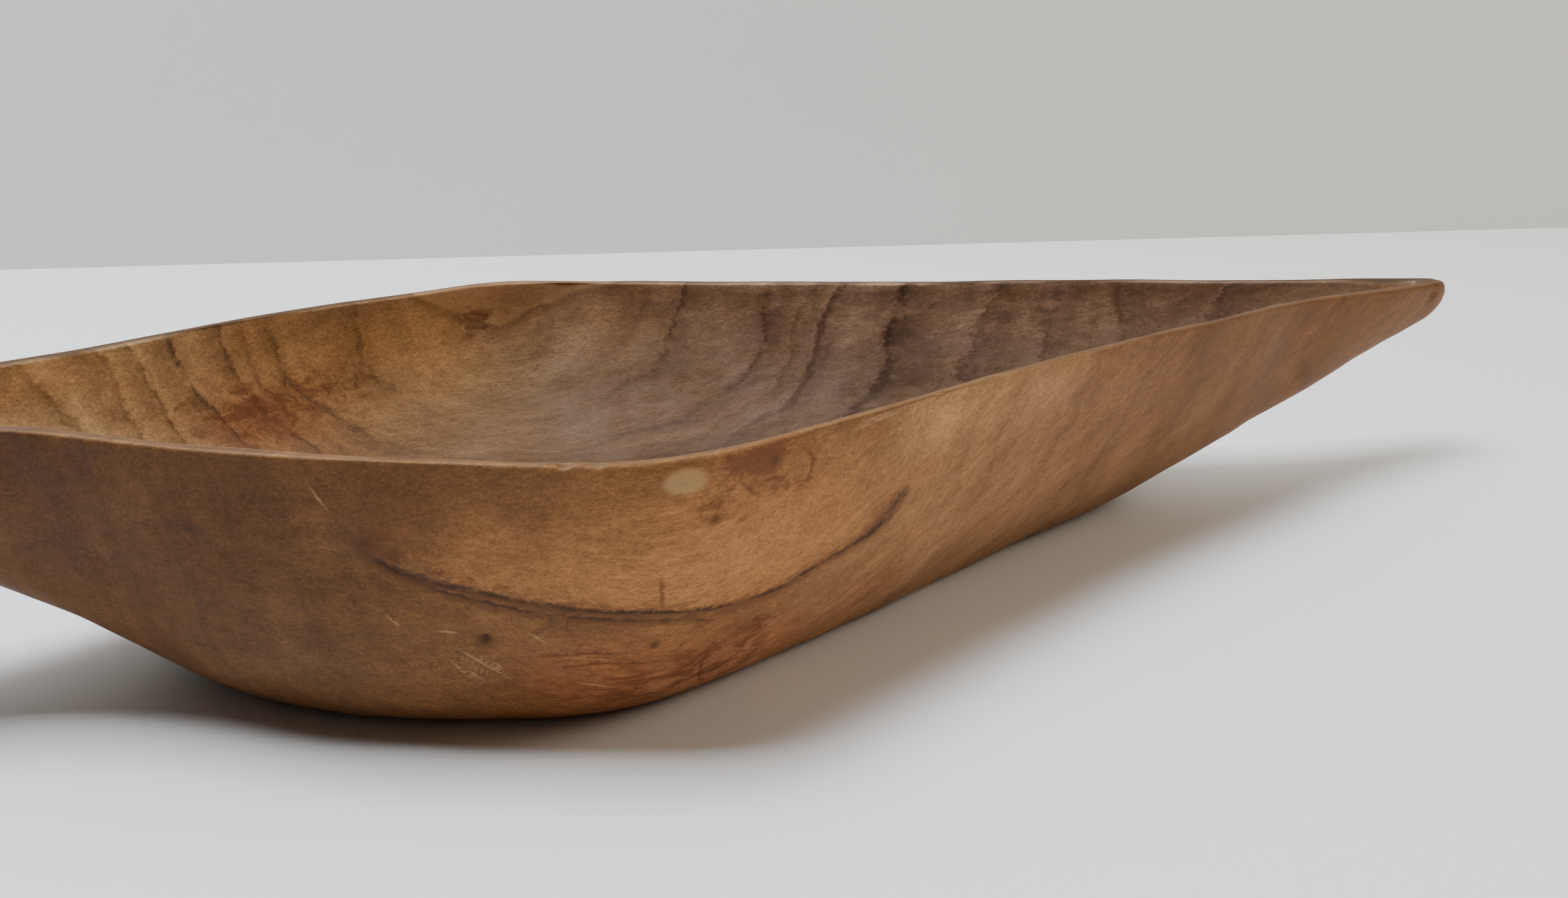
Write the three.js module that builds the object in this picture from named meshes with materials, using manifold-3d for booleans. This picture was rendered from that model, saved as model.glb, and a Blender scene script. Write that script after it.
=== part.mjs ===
// A leaf-shaped dish carved from one piece of wood: a pointed tip at +X, a broad
// rounded shoulder, and a narrow stalk at -X. Millimetres, +Z up. The origin is the
// middle of the bounding box at the height of the flat foot.
import * as THREE from 'three';
import { mergeVertices } from 'three/addons/utils/BufferGeometryUtils.js';
import Module from 'manifold-3d';

const LENGTH = 390; // tip to stalk end
const HALF_WIDTH = 70; // at the shoulder
const RIM_HEIGHT = 52; // above the foot, at the shoulder
const STALK_RISE = 2.5; // how much higher the rim is at the stalk end
const TIP_DROP = 3; // how much lower the rim is at the tip

const NOSE_LENGTH = 7; // the rounded stretch at the tip
const STALK_ROUND = 9; // the rounded stretch at the stalk end

const RIM_LAND = 2; // width of the rim's top edge at the tip and shoulder
const STALK_LAND = 4; // width of the rim's top edge where the hollow runs out
const FLOOR_THICKNESS = 8; // wood under the deepest point of the hollow
const HOLLOW_START = 13; // distance of the hollow's pointed end from the tip
const HOLLOW_END = 372; // distance of the hollow's stalk end from the tip
const HOLLOW_FULLNESS = 2.5; // how square the hollow's sections are
const HOLLOW_ROUND = 16; // the stretch over which each end of the hollow closes

// Each profile is a few [distance from the tip, value] pairs joined by a smooth curve.
const RIM = [
  [0, RIM_HEIGHT - TIP_DROP], [100, RIM_HEIGHT - 0.8], [250, RIM_HEIGHT],
  [LENGTH, RIM_HEIGHT + STALK_RISE],
];
const OUTLINE = [
  [0, 2], [30, 8], [60, 12.5], [100, 24], [150, 37.8], [190, 51.6],
  [222, 63], [248, HALF_WIDTH], [280, 59.5], [310, 44], [338, 25], [362, 15.5], [LENGTH, 11.5],
];
// The keel runs below the table along the belly, so that the table plane cuts a flat foot.
const KEEL = [
  [0, 40.5], [60, 17.5], [97, 5], [130, -4], [200, -15], [260, -16.5],
  [292, -11.5], [318, 0], [342, 18], [365, 29], [LENGTH, 31],
];
const FULLNESS = [[0, 1.4], [200, 2.05], [LENGTH, 2.7]]; // 2 is an ellipse, more is squarer
const HOLLOW_KEEL = [
  [13, 44], [60, 28], [100, 17.5], [150, 10.5], [215, FLOOR_THICKNESS],
  [275, 9.5], [310, 17], [340, 32], [372, 45],
];

const SPANS = 46; // steps along the length
const ARC_STEPS = 28; // steps round each section, from one rim to the other
const CLEARANCE = 20; // how far the cutting solids pass the bowl

// Steffen's monotone cubic: smooth, through every point, with no overshoot.
function smooth(profile, at) {
  const last = profile.length - 1;
  const slope = (i) => (profile[i + 1][1] - profile[i][1]) / (profile[i + 1][0] - profile[i][0]);
  const tangent = (i) => {
    if (i === 0) return slope(0);
    if (i === last) return slope(last - 1);
    const before = slope(i - 1);
    const after = slope(i);
    if (before * after <= 0) return 0;
    return (2 * before * after) / (before + after);
  };
  let i = 0;
  while (i < last - 1 && at > profile[i + 1][0]) i += 1;
  const span = profile[i + 1][0] - profile[i][0];
  const t = (at - profile[i][0]) / span;
  const value = profile[i][1] * (2 * t ** 3 - 3 * t ** 2 + 1)
    + profile[i + 1][1] * (3 * t ** 2 - 2 * t ** 3);
  const turn = tangent(i) * (t ** 3 - 2 * t ** 2 + t) + tangent(i + 1) * (t ** 3 - t ** 2);
  return value + turn * span;
}

// A quarter-ellipse factor, 0 at an end and 1 beyond the rounded stretch.
function rounding(distance, stretch) {
  const inside = Math.max(0, 1 - distance / stretch);
  return Math.sqrt(1 - inside * inside);
}

// The open lower half of a superellipse, from the +Y rim down and up to the -Y rim.
function halfSection(halfWidth, rim, depth, fullness) {
  const points = [];
  for (let i = 0; i <= ARC_STEPS; i += 1) {
    const angle = (Math.PI * i) / ARC_STEPS;
    const across = Math.cos(angle);
    const down = Math.max(0, Math.sin(angle));
    const y = halfWidth * Math.sign(across) * Math.abs(across) ** (2 / fullness);
    points.push([y, rim - depth * down ** (2 / fullness)]);
  }
  return points;
}

function hullSection(distance) {
  const ends = rounding(distance, NOSE_LENGTH) * rounding(LENGTH - distance, STALK_ROUND);
  const rim = smooth(RIM, distance);
  const depth = (rim - smooth(KEEL, distance)) * ends;
  return halfSection(smooth(OUTLINE, distance) * ends, rim, depth, smooth(FULLNESS, distance));
}

// The hollow's section goes on up past the rim, so that it cuts the bowl open.
function hollowSection(distance) {
  const fromTip = distance - HOLLOW_START;
  const fromStalk = HOLLOW_END - distance;
  const ends = rounding(fromTip, HOLLOW_ROUND) * rounding(fromStalk, HOLLOW_ROUND);
  const land = RIM_LAND + (STALK_LAND - RIM_LAND) * (distance / LENGTH) ** 4;
  const rim = smooth(RIM, distance);
  const depth = (rim - smooth(HOLLOW_KEEL, distance)) * ends;
  const halfWidth = (smooth(OUTLINE, distance) - land) * ends;
  const top = rim + CLEARANCE;
  return [
    ...halfSection(halfWidth, rim, depth, HOLLOW_FULLNESS), [-halfWidth, top], [halfWidth, top],
  ];
}

// Joins equal-length sections into one closed solid, flat at both ends.
function loft(sectionAt, start, end) {
  const positions = [];
  const triangles = [];
  const margin = 0.2; // keeps the end sections from shrinking to a point
  const clamp = (at) => Math.min(Math.max(at, start + margin), end - margin);
  let count = 0;
  for (let i = 0; i <= SPANS; i += 1) {
    const share = 0.5 - 0.5 * Math.cos((Math.PI * i) / SPANS);
    const distance = start + (end - start) * share;
    const section = sectionAt(clamp(distance));
    count = section.length;
    section.forEach(([y, z]) => positions.push(LENGTH / 2 - distance, y, z));
  }
  for (let i = 0; i < SPANS; i += 1) {
    for (let j = 0; j < count; j += 1) {
      const a = i * count + j;
      const b = i * count + ((j + 1) % count);
      triangles.push(a, b, b + count, a, b + count, a + count);
    }
  }
  for (let j = 1; j < count - 1; j += 1) {
    const base = SPANS * count;
    triangles.push(0, j + 1, j, base, base + j, base + j + 1);
  }
  const geometry = new THREE.BufferGeometry();
  geometry.setAttribute('position', new THREE.Float32BufferAttribute(positions, 3));
  geometry.setIndex(triangles);
  return geometry;
}

const wasm = await Module();
wasm.setup();

function toSolid(geometry) {
  geometry.deleteAttribute('normal');
  geometry.deleteAttribute('uv');
  const merged = mergeVertices(geometry);
  return new wasm.Manifold(new wasm.Mesh({
    numProp: 3,
    vertProperties: new Float32Array(merged.attributes.position.array),
    triVerts: new Uint32Array(merged.index.array),
  }));
}

function toGeometry(solid) {
  const mesh = solid.getMesh();
  const geometry = new THREE.BufferGeometry();
  geometry.setAttribute('position', new THREE.BufferAttribute(mesh.vertProperties, 3));
  geometry.setIndex(new THREE.BufferAttribute(mesh.triVerts, 1));
  geometry.computeVertexNormals();
  return geometry;
}

// Everything below the table plane is planed away, which leaves the flat foot.
function belowTable() {
  const depth = CLEARANCE * 2;
  const block = new THREE.BoxGeometry(LENGTH, HALF_WIDTH * 2, depth);
  block.translate(0, 0, -depth / 2);
  return toSolid(block);
}

function carvedBowl() {
  const hull = toSolid(loft(hullSection, 0, LENGTH));
  const hollow = toSolid(loft(hollowSection, HOLLOW_START, HOLLOW_END));
  const bowl = hull.subtract(hollow).subtract(belowTable());
  const wood = new THREE.MeshStandardMaterial({ color: 0x9a6a3c, roughness: 0.55, metalness: 0 });
  const mesh = new THREE.Mesh(toGeometry(bowl), wood);
  mesh.name = 'carved_bowl';
  return mesh;
}

const dish = new THREE.Group();
dish.add(carvedBowl());

export default dish;
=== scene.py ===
"""A leaf-shaped dish carved from one piece of wood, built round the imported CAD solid.

The surface is one closed grid: rows run across the dish, one for each distance from the tip,
and every row goes down the near outside wall, under the foot, up the far outside wall, over
the rim, down into the hollow, up again and over the near rim. All lengths are in millimetres
until the mesh is made. Distance is measured from the tip; x is half the length less distance.
"""
import math

import bmesh
import bpy
import numpy as np
from mathutils import Matrix, Vector


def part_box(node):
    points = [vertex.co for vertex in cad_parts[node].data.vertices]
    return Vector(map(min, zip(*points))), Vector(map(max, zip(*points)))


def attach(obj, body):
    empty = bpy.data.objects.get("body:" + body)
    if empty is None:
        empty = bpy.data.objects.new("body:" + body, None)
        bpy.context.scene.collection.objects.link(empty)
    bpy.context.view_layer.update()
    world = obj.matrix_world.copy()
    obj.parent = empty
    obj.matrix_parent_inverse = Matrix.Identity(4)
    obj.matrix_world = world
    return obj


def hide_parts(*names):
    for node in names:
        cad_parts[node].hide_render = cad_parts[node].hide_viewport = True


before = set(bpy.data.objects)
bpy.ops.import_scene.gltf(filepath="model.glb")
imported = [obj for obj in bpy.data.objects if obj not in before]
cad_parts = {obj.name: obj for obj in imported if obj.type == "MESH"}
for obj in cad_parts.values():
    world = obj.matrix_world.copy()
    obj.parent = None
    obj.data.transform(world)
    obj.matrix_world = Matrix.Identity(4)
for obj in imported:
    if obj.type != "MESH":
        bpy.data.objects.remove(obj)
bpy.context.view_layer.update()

MM = 0.001
NODE = "carved_bowl"
lowest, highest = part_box(NODE)

# ---------------------------------------------------------------- driving dimensions
LENGTH = round((highest.x - lowest.x) / MM)
HALF_WIDTH = round(highest.y / MM)
STALK_RISE = 2.5  # how much higher the rim is at the stalk end than at the shoulder
RIM_HEIGHT = highest.z / MM - STALK_RISE
TIP_DROP = 3  # how much lower the rim is at the tip
NOSE_LENGTH = 7  # the rounded stretch at the tip
STALK_ROUND = 9  # the rounded stretch at the stalk end
RIM_LAND = 2  # width of the rim's top edge at the tip and shoulder
STALK_LAND = 4  # width of the rim's top edge where the hollow runs out
FLOOR_THICKNESS = 8  # wood under the deepest point of the hollow
HOLLOW_START = 13  # distance of the hollow's pointed end from the tip
HOLLOW_END = 372  # distance of its stalk end from the tip
HOLLOW_FULLNESS = 2.5  # how square the hollow's sections are
HOLLOW_ROUND = 16  # the stretch over which each end of the hollow closes

# [distance from the tip, value] pairs, the same as the CAD solid's
RIM = [
    [0, RIM_HEIGHT - TIP_DROP], [100, RIM_HEIGHT - 0.8], [250, RIM_HEIGHT],
    [LENGTH, RIM_HEIGHT + STALK_RISE],
]
OUTLINE = [
    [0, 2], [30, 8], [60, 12.5], [100, 24], [150, 37.8], [190, 51.6], [222, 63],
    [248, HALF_WIDTH], [280, 59.5], [310, 44], [338, 25], [362, 15.5], [LENGTH, 11.5],
]
KEEL = [
    [0, 40.5], [60, 17.5], [97, 5], [130, -4], [200, -15], [260, -16.5],
    [292, -11.5], [318, 0], [342, 18], [365, 29], [LENGTH, 31],
]
FULLNESS = [[0, 1.4], [200, 2.05], [LENGTH, 2.7]]
HOLLOW_KEEL = [
    [13, 44], [60, 28], [100, 17.5], [150, 10.5], [215, FLOOR_THICKNESS],
    [275, 9.5], [310, 17], [340, 32], [372, 45],
]

# ---------------------------------------------------------------- surface detail
RIM_ROUND = 0.8  # how far back each corner of the rim is rounded
WORN_ROUND = 2.2  # the same on the near shoulder, where the rim is worn soft
TIP_ROUND = 3.0  # and at the tip
NOSE_DROP = 3.6  # how far the very tip lies below the rim
NOSE_BLUNTNESS = 0.7  # less is blunter, seen from the side
NOSE_ROLL = 5.5  # the stretch over which the rim rolls down to it
BELLY_SWELL = 1.5  # extra fullness low on the near side of the belly
FOOT_ROUND = 3  # how far above the table the flat foot starts to curve up
ROW_STEP = 1.3  # spacing of the rows along the dish
FINE_STEP = 0.75  # their spacing across the marked side of the shoulder
END_STEP = 0.25  # and at the two ends
WALL_COLUMNS = 92  # points down the near outside wall
FOOT_COLUMNS = 16
FAR_COLUMNS = 44
CORNER_COLUMNS = 4  # points round each corner of the rim
LAND_COLUMNS = 2  # points across the flat of the rim
HOLLOW_COLUMNS = 80
ARC_SAMPLES = 400  # points round each section before it is resampled
# Unevenness left by the tools, as layers of (height, size across, seed).
OUTSIDE_WAVES = [(0.28, 34, 11), (0.07, 9, 12)]
HOLLOW_WAVES = [(0.32, 24, 13), (0.06, 7, 14)]
RIM_WAVE_HEIGHT, RIM_WAVE_SIZE, RIM_WAVE_SEED = 0.10, 34, 16
EVEN_END = 6  # the unevenness fades out this close to either end
TINT_WANDER, TINT_WANDER_SIZE, TINT_SEEDS = 0.18, 22, (31, 32, 33)


def smooth(profile, at):
    """A monotone cubic through the profile's points, with no overshoot."""
    points = np.array(profile, float)
    x, y = points[:, 0], points[:, 1]
    span = np.diff(x)
    slope = np.diff(y) / span
    before, after = slope[:-1], slope[1:]
    same_way = before * after > 0
    mean = 2 * before * after / np.where(same_way, before + after, 1)
    tangent = np.concatenate([slope[:1], np.where(same_way, mean, 0), slope[-1:]])
    i = np.clip(np.searchsorted(x, at) - 1, 0, len(span) - 1)
    t = (at - x[i]) / span[i]
    value = y[i] * (2 * t**3 - 3 * t**2 + 1) + y[i + 1] * (3 * t**2 - 2 * t**3)
    turn = tangent[i] * (t**3 - 2 * t**2 + t) + tangent[i + 1] * (t**3 - t**2)
    return value + turn * span[i]


def rounding(distance, stretch):
    """A quarter ellipse: 0 at an end, 1 beyond the rounded stretch."""
    inside = np.clip(1 - distance / stretch, 0, 1)
    return np.sqrt(1 - inside**2)


def step_up(value, low, high):
    """0 below low, 1 above high, smooth in between."""
    t = np.clip((value - low) / (high - low), 0, 1)
    return t * t * (3 - 2 * t)


def bump(value, centre, radius):
    """A bell, 1 at the centre."""
    return np.exp(-(((value - centre) / radius) ** 2))


def waves(points, size, seed, count=14):
    """A seeded random field, mostly between -1.5 and 1.5, with swells about size mm across."""
    random = np.random.default_rng(seed)
    total = np.zeros(points.shape[:-1])
    for _ in range(count):
        direction = random.normal(size=3)
        direction *= 2 * math.pi / (size * random.uniform(0.8, 1.7) * np.linalg.norm(direction))
        total += np.sin(points @ direction + random.uniform(0, 2 * math.pi))
    return total / math.sqrt(count)


def uneven(points, layers):
    return sum(height * waves(points, size, seed) for height, size, seed in layers)


# ---------------------------------------------------------------- the grid
def stations():
    """Distances from the tip, closer together at the ends and across the shoulder."""
    fine = np.linspace(0, LENGTH, 4000)
    step = np.full_like(fine, ROW_STEP)
    shoulder = step_up(fine, 180, 198) * (1 - step_up(fine, 292, 306))
    step += (FINE_STEP - ROW_STEP) * shoulder
    from_end = np.minimum(fine, LENGTH - fine)
    step = END_STEP + (step - END_STEP) * step_up(from_end, 0, 12)
    count = np.concatenate([[0], np.cumsum(np.diff(fine) / ((step[1:] + step[:-1]) / 2))])
    return np.interp(np.arange(0, int(count[-1]) + 1) * count[-1] / int(count[-1]), count, fine)


def resample(points, where):
    """Points at the given arc lengths along each row's line."""
    step = np.linalg.norm(np.diff(points, axis=1), axis=2)
    length = np.concatenate([np.zeros((len(points), 1)), np.cumsum(step, axis=1)], axis=1)
    total = length[:, -1:]
    out = np.empty((len(points), where.shape[1], 3))
    for row in range(len(points)):
        for axis in range(3):
            out[row, :, axis] = np.interp(where[row] * total[row], length[row], points[row, :, axis])
    return out


def half_sections(distance, half_width, rim, depth, fullness, corner):
    """Lower halves of superellipses, from near rim to far rim, without the rim's corners."""
    lift = np.clip(corner / np.maximum(depth, 1e-6), 0, 0.45)
    start = np.arcsin(lift ** (fullness / 2))
    share = np.linspace(0, 1, ARC_SAMPLES)[None, :]
    angle = start[:, None] + (math.pi - 2 * start[:, None]) * share
    power = 2 / fullness[:, None]
    across = -np.cos(angle)
    y = half_width[:, None] * np.sign(across) * np.abs(across) ** power
    z = rim[:, None] - depth[:, None] * np.sin(angle) ** power
    x = np.broadcast_to(LENGTH / 2 - distance[:, None], y.shape)
    return np.stack([x, y, z], axis=2)


def dish_ends(distance):
    """0 at the dish's two ends, 1 between their rounded stretches."""
    return rounding(distance, NOSE_LENGTH) * rounding(LENGTH - distance, STALK_ROUND)


def hollow_ends(distance):
    """The same for the hollow."""
    return rounding(distance - HOLLOW_START, HOLLOW_ROUND) * rounding(HOLLOW_END - distance, HOLLOW_ROUND)


def outside(distance, corner):
    ends = dish_ends(distance)
    rim = smooth(RIM, distance)
    depth = (rim - smooth(KEEL, distance)) * ends**NOSE_BLUNTNESS
    half_width = smooth(OUTLINE, distance) * ends
    return half_sections(distance, half_width, rim, depth, smooth(FULLNESS, distance), corner)


def hollow_station(distance):
    """The hollow's rows bunch up towards its own two ends, which lie inside the dish's."""
    tip_share = np.clip(1 - distance / 50, 0, 1)
    stalk_share = np.clip(1 - (LENGTH - distance) / 60, 0, 1)
    return distance + HOLLOW_START * tip_share**2 - (LENGTH - HOLLOW_END) * stalk_share**2


def land_width(distance):
    return RIM_LAND + (STALK_LAND - RIM_LAND) * (distance / LENGTH) ** 4


def inside(distance, corner):
    ends = hollow_ends(distance)
    rim = smooth(RIM, distance)
    depth = (rim - smooth(HOLLOW_KEEL, distance)) * ends
    half_width = (smooth(OUTLINE, distance) - land_width(distance)) * ends
    fullness = np.full_like(distance, HOLLOW_FULLNESS)
    return half_sections(distance, half_width, rim, depth, fullness, corner)


def rim_points(lower_outer, outer, inner, lower_inner, radius):
    """From the outside wall round the rim's outer corner, over its flat and round the inner."""
    gap = inner - outer
    width = np.linalg.norm(gap, axis=1, keepdims=True)
    reach = np.minimum(radius[:, None], 0.45 * width)
    along = gap / np.maximum(width, 1e-9)
    first, last = outer + along * reach, inner - along * reach
    columns = []
    for i in range(1, CORNER_COLUMNS + 1):
        t = i / CORNER_COLUMNS
        columns.append((1 - t) ** 2 * lower_outer + 2 * t * (1 - t) * outer + t**2 * first)
    for i in range(1, LAND_COLUMNS + 1):
        t = i / (LAND_COLUMNS + 1)
        columns.append(first * (1 - t) + last * t)
    for i in range(0, CORNER_COLUMNS):
        t = i / CORNER_COLUMNS
        columns.append((1 - t) ** 2 * last + 2 * t * (1 - t) * inner + t**2 * lower_inner)
    return np.stack(columns, axis=1)


def outside_shares(sections):
    """Shares of each row's length for its columns: near wall, foot, far wall."""
    step = np.linalg.norm(np.diff(sections, axis=1), axis=2)
    length = np.concatenate([np.zeros((len(sections), 1)), np.cumsum(step, axis=1)], axis=1)
    share = length / np.maximum(length[:, -1:], 1e-9)
    shares = []
    for row, section in enumerate(sections):
        on_foot = share[row][section[:, 2] < 0]
        foot = max((on_foot[-1] - on_foot[0]) / 2 if len(on_foot) else 0, 0.09)
        near = np.linspace(0, 0.5 - foot, WALL_COLUMNS, endpoint=False)
        under = np.linspace(0.5 - foot, 0.5 + foot, FOOT_COLUMNS, endpoint=False)
        far = np.linspace(0.5 + foot, 1, FAR_COLUMNS)
        shares.append(np.concatenate([near, under, far]))
    return np.array(shares)


def dish_grid():
    """The whole surface as rows of points, and the share of inside (1) or outside (0)."""
    distance = stations()
    worn = bump(LENGTH / 2 - distance, -57, 17)
    plain_round = RIM_ROUND + (TIP_ROUND - RIM_ROUND) * bump(distance, 0, 22)
    near_round = plain_round + (WORN_ROUND - RIM_ROUND) * worn
    within = hollow_station(distance)

    outer = outside(distance, near_round)
    inner = inside(within, plain_round)
    outer = resample(outer, outside_shares(outer))
    even = np.linspace(0, 1, HOLLOW_COLUMNS)
    inner = resample(inner, np.broadcast_to(even, (len(inner), HOLLOW_COLUMNS)))

    outer_half = smooth(OUTLINE, distance) * dish_ends(distance)
    inner_half = (smooth(OUTLINE, within) - land_width(within)) * hollow_ends(within)
    x, inner_x = LENGTH / 2 - distance, LENGTH / 2 - within
    z, inner_z = smooth(RIM, distance), smooth(RIM, within)

    def corner(at, half, height, side):
        return np.stack([at, side * half, height], axis=1)

    far = rim_points(
        outer[:, -1], corner(x, outer_half, z, 1), corner(inner_x, inner_half, inner_z, 1),
        inner[:, -1], plain_round,
    )
    near = rim_points(
        outer[:, 0], corner(x, outer_half, z, -1), corner(inner_x, inner_half, inner_z, -1),
        inner[:, 0], near_round,
    )
    grid = np.concatenate([outer, far, inner[:, ::-1], near[:, ::-1]], axis=1)
    band = np.linspace(0, 1, far.shape[1])
    skin = np.concatenate([np.zeros(outer.shape[1]), band, np.ones(HOLLOW_COLUMNS), band[::-1]])
    return grid, np.broadcast_to(skin, grid.shape[:2])


def grid_normals(grid):
    """Outward unit normals of the grid, which closes across its columns."""
    across = np.roll(grid, -1, axis=1) - np.roll(grid, 1, axis=1)
    along = np.gradient(grid, axis=0)
    normal = np.cross(along, across)
    length = np.linalg.norm(normal, axis=2, keepdims=True)
    return normal / np.maximum(length, 1e-9)


# ---------------------------------------------------------------- marks
# Each line is given by points on the near outside wall as (x, height).
CRACK_UPPER = [
    (-97, 37.4), (-92.5, 34.6), (-86, 32.2), (-79, 30.2), (-73, 28.6), (-68, 27.6), (-62, 26.8),
    (-56, 26.1), (-50, 24.9), (-44, 23.8), (-38, 23.1), (-32, 23.3), (-25.5, 25.0), (-18.5, 26.4),
    (-13, 28.4), (-9, 30.8), (-6.2, 33.4), (-3.8, 35.2),
]
CRACK_LOWER = [
    (-96, 36.6), (-91, 33.4), (-87, 31.2), (-82, 29.3), (-77, 27.9), (-72.5, 26.6), (-69.5, 26.3),
    (-65, 25.7), (-60, 24.9), (-55, 24.3), (-50, 23.2), (-45, 21.3),
]
CRACK_HOOK = [(-69.5, 26.3), (-71.6, 25.6), (-71.4, 24.3), (-72.6, 23.5), (-74.2, 23.0)]
CRACK_DASHES = [
    [(-88, 34.7), (-85.4, 33.8)], [(-84, 33.8), (-81.4, 33.1)], [(-79.5, 32.2), (-76.5, 31.6)],
]


def sign_of(value):
    return np.where(value < 0, -1.0, 1.0)


class Wall:
    """Finds points on the near outside wall from x and height."""

    def __init__(self, grid):
        self.grid = grid[:, :WALL_COLUMNS + 2]
        self.x = self.grid[:, 0, 0]

    def point(self, x, z):
        share = np.interp(-x, -self.x, np.arange(len(self.x)))
        row = min(int(share), len(self.x) - 2)
        near = self.grid[row] * (1 - (share - row)) + self.grid[row + 1] * (share - row)
        order = np.argsort(near[:, 2])
        return np.array([x, np.interp(z, near[order, 2], near[order, 1]), z])

    def line(self, points, step=1.5):
        """A denser line on the wall through the given points."""
        fine = []
        for (x0, z0), (x1, z1) in zip(points[:-1], points[1:]):
            count = max(1, round(math.hypot(x1 - x0, z1 - z0) / step))
            fine += [(x0 + (x1 - x0) * i / count, z0 + (z1 - z0) * i / count) for i in range(count)]
        fine.append(points[-1])
        return np.array([self.point(x, z) for x, z in fine])


def strokes(points, normals, wall, marks, reach=4.0, taper=3.0):
    """Signed distance in mm to the nearest mark, and its strength, which fades at the ends."""
    flat, facing = points.reshape(-1, 3), normals.reshape(-1, 3)
    nearest = np.full(len(flat), 1e3)
    strength = np.zeros(len(flat))
    for line in map(wall.line, marks):
        low, high = line.min(0) - reach, line.max(0) + reach
        close = np.where(((flat > low) & (flat < high)).all(1))[0]
        if not len(close):
            continue
        step = np.diff(line, axis=0)
        size = np.linalg.norm(step, axis=1)
        start = np.concatenate([[0], np.cumsum(size)])
        for i, piece in enumerate(step):
            offset = flat[close] - line[i]
            t = np.clip(offset @ piece / size[i] ** 2, 0, 1)
            away = offset - t[:, None] * piece
            far = np.linalg.norm(away, axis=1)
            side = sign_of(np.einsum("ij,ij->i", np.cross(piece, away), facing[close]))
            at = start[i] + t * size[i]
            fade = np.minimum(at, start[-1] - at) / min(taper, start[-1] / 2)
            fade = np.clip(fade, 0, 1) * (1 - step_up(far, reach * 0.5, reach))
            better = far < np.abs(nearest[close])
            nearest[close[better]] = (far * side)[better]
            strength[close[better]] = fade[better]
    return nearest.reshape(points.shape[:2]), strength.reshape(points.shape[:2])


# Pale scratches on the near wall as (x, height); the last two lines are a painted highlight, the glint on
# the worn edge under the rim.
SCRATCHES_AND_GLINT = [
    [(-85, 20), (-76.4, 12.4)], [(-86.3, 18), (-82.8, 12.8)], [(-75.2, 23.6), (-71.5, 20.4)],
    [(-103.3, 48.6), (-102, 46), (-100.8, 44)], [(-41, 12.6), (-33, 8.6)],
    [(-88, 23.6), (-84, 22.9)], [(-68, 12), (-60, 9.4)], [(-95, 27), (-92.4, 23.6)],
    [(-80, 17.5), (-77.5, 14.5)], [(-84, 16), (-80.5, 12)], [(-38, 14), (-30, 15.2)],
    [(-52, 9), (-47, 8)], [(-20, 49.5), (-14, 50.1), (-8, 50.4)], [(-18, 50.4), (-10, 51.0)],
]
FIGURE_MARKS = [
    [(-43.9, 17), (-45.6, 14.8), (-46.1, 10.8), (-45.2, 6), (-43.2, 3.6)],
    [(-41, 7.8), (-44.2, 7)], [(-44, 39.3), (-39.8, 40.9)], [(-55.6, 34), (-55, 26)],
    [(-39.5, 18.6), (-31.5, 16.6)], [(-53, 16.4), (-48.7, 19)],
    [(-71, 15.4), (-63, 16.2), (-54.2, 14.8)], [(-31, 50), (-28, 47), (-29, 43.5), (-32.5, 42)],
    [(-43, 47.5), (-40.5, 44.5), (-38, 43)], [(-74, 18), (-66, 18.6), (-60, 17.6)],
]
PIT = (-80.7, 21.7)
# Small dark spots on the near wall: x, height, radius. The first is painted shade in the pit.
SPOTS = [
    (*PIT, 1.2), (-36, 48.4, 1.3), (-96.5, 38.6, 1.6), (-93, 37, 1.2), (-55.6, 19, 0.9),
    (-47, 41.5, 0.9), (-120, 40, 1.0), (-112, 30, 0.9),
]


def groove(distance, strength, half_width, depth):
    return depth * strength * np.clip(1 - np.abs(distance) / half_width, 0, 1)


def dimple(points, centre, radius, depth):
    """A shallow round hollow about a point, as a depth at each grid point."""
    away = np.linalg.norm(points - np.array(centre, float), axis=-1)
    return depth * np.clip(1 - (away / radius) ** 2, 0, 1) ** 2


def carve(grid, skin):
    """Hand-worked unevenness, the rolled nose, the crack, the pit and the nicks in the rim."""
    normal = grid_normals(grid)
    outer = 1 - skin
    push = outer * uneven(grid, OUTSIDE_WAVES)
    push += skin * uneven(grid, HOLLOW_WAVES)
    low_near = bump(grid[..., 0], -62, 50) * bump(grid[..., 2], 1, 15) * (grid[..., 1] < 0)
    push += outer * BELLY_SWELL * low_near
    at_rim = 4 * skin * (1 - skin)
    push *= 1 - at_rim
    distance = stations()
    push *= step_up(np.minimum(distance, LENGTH - distance), 0, EVEN_END)[:, None]
    grid = grid + normal * push[..., None]
    wave = RIM_WAVE_HEIGHT * waves(grid * [1, 0, 0], RIM_WAVE_SIZE, RIM_WAVE_SEED)
    grid[..., 2] += wave * step_up(grid[..., 2], 40, 50)
    grid = roll_nose(grid)

    wall = Wall(grid)
    normal = grid_normals(grid)
    upper, upper_strength = strokes(grid, normal, wall, [CRACK_UPPER])
    lower, lower_strength = strokes(grid, normal, wall, [CRACK_LOWER, CRACK_HOOK])
    sink = groove(upper, upper_strength, 0.7, 0.35) + groove(lower, lower_strength, 0.7, 0.3)
    sink += dimple(grid, wall.point(*PIT), 1.5, 0.9)
    sink += dimple(grid, wall.point(-82.6, 21.0), 1.1, 0.35)
    sink += dimple(grid, [LENGTH / 2 - 9, -4.0, RIM_HEIGHT - TIP_DROP - 3], 3.2, 0.6)
    grid = grid - normal * (sink * outer)[..., None]

    nick = dimple(grid, [2, -53, RIM_HEIGHT - 0.2], 1.8, 0.7)
    nick += dimple(grid, [-69, -65.5, RIM_HEIGHT], 1.6, 0.6)
    nick += dimple(grid, [-64.5, -66.8, RIM_HEIGHT], 2.4, 0.35)
    grid[..., 2] -= nick
    return flatten_foot(grid)


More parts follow.
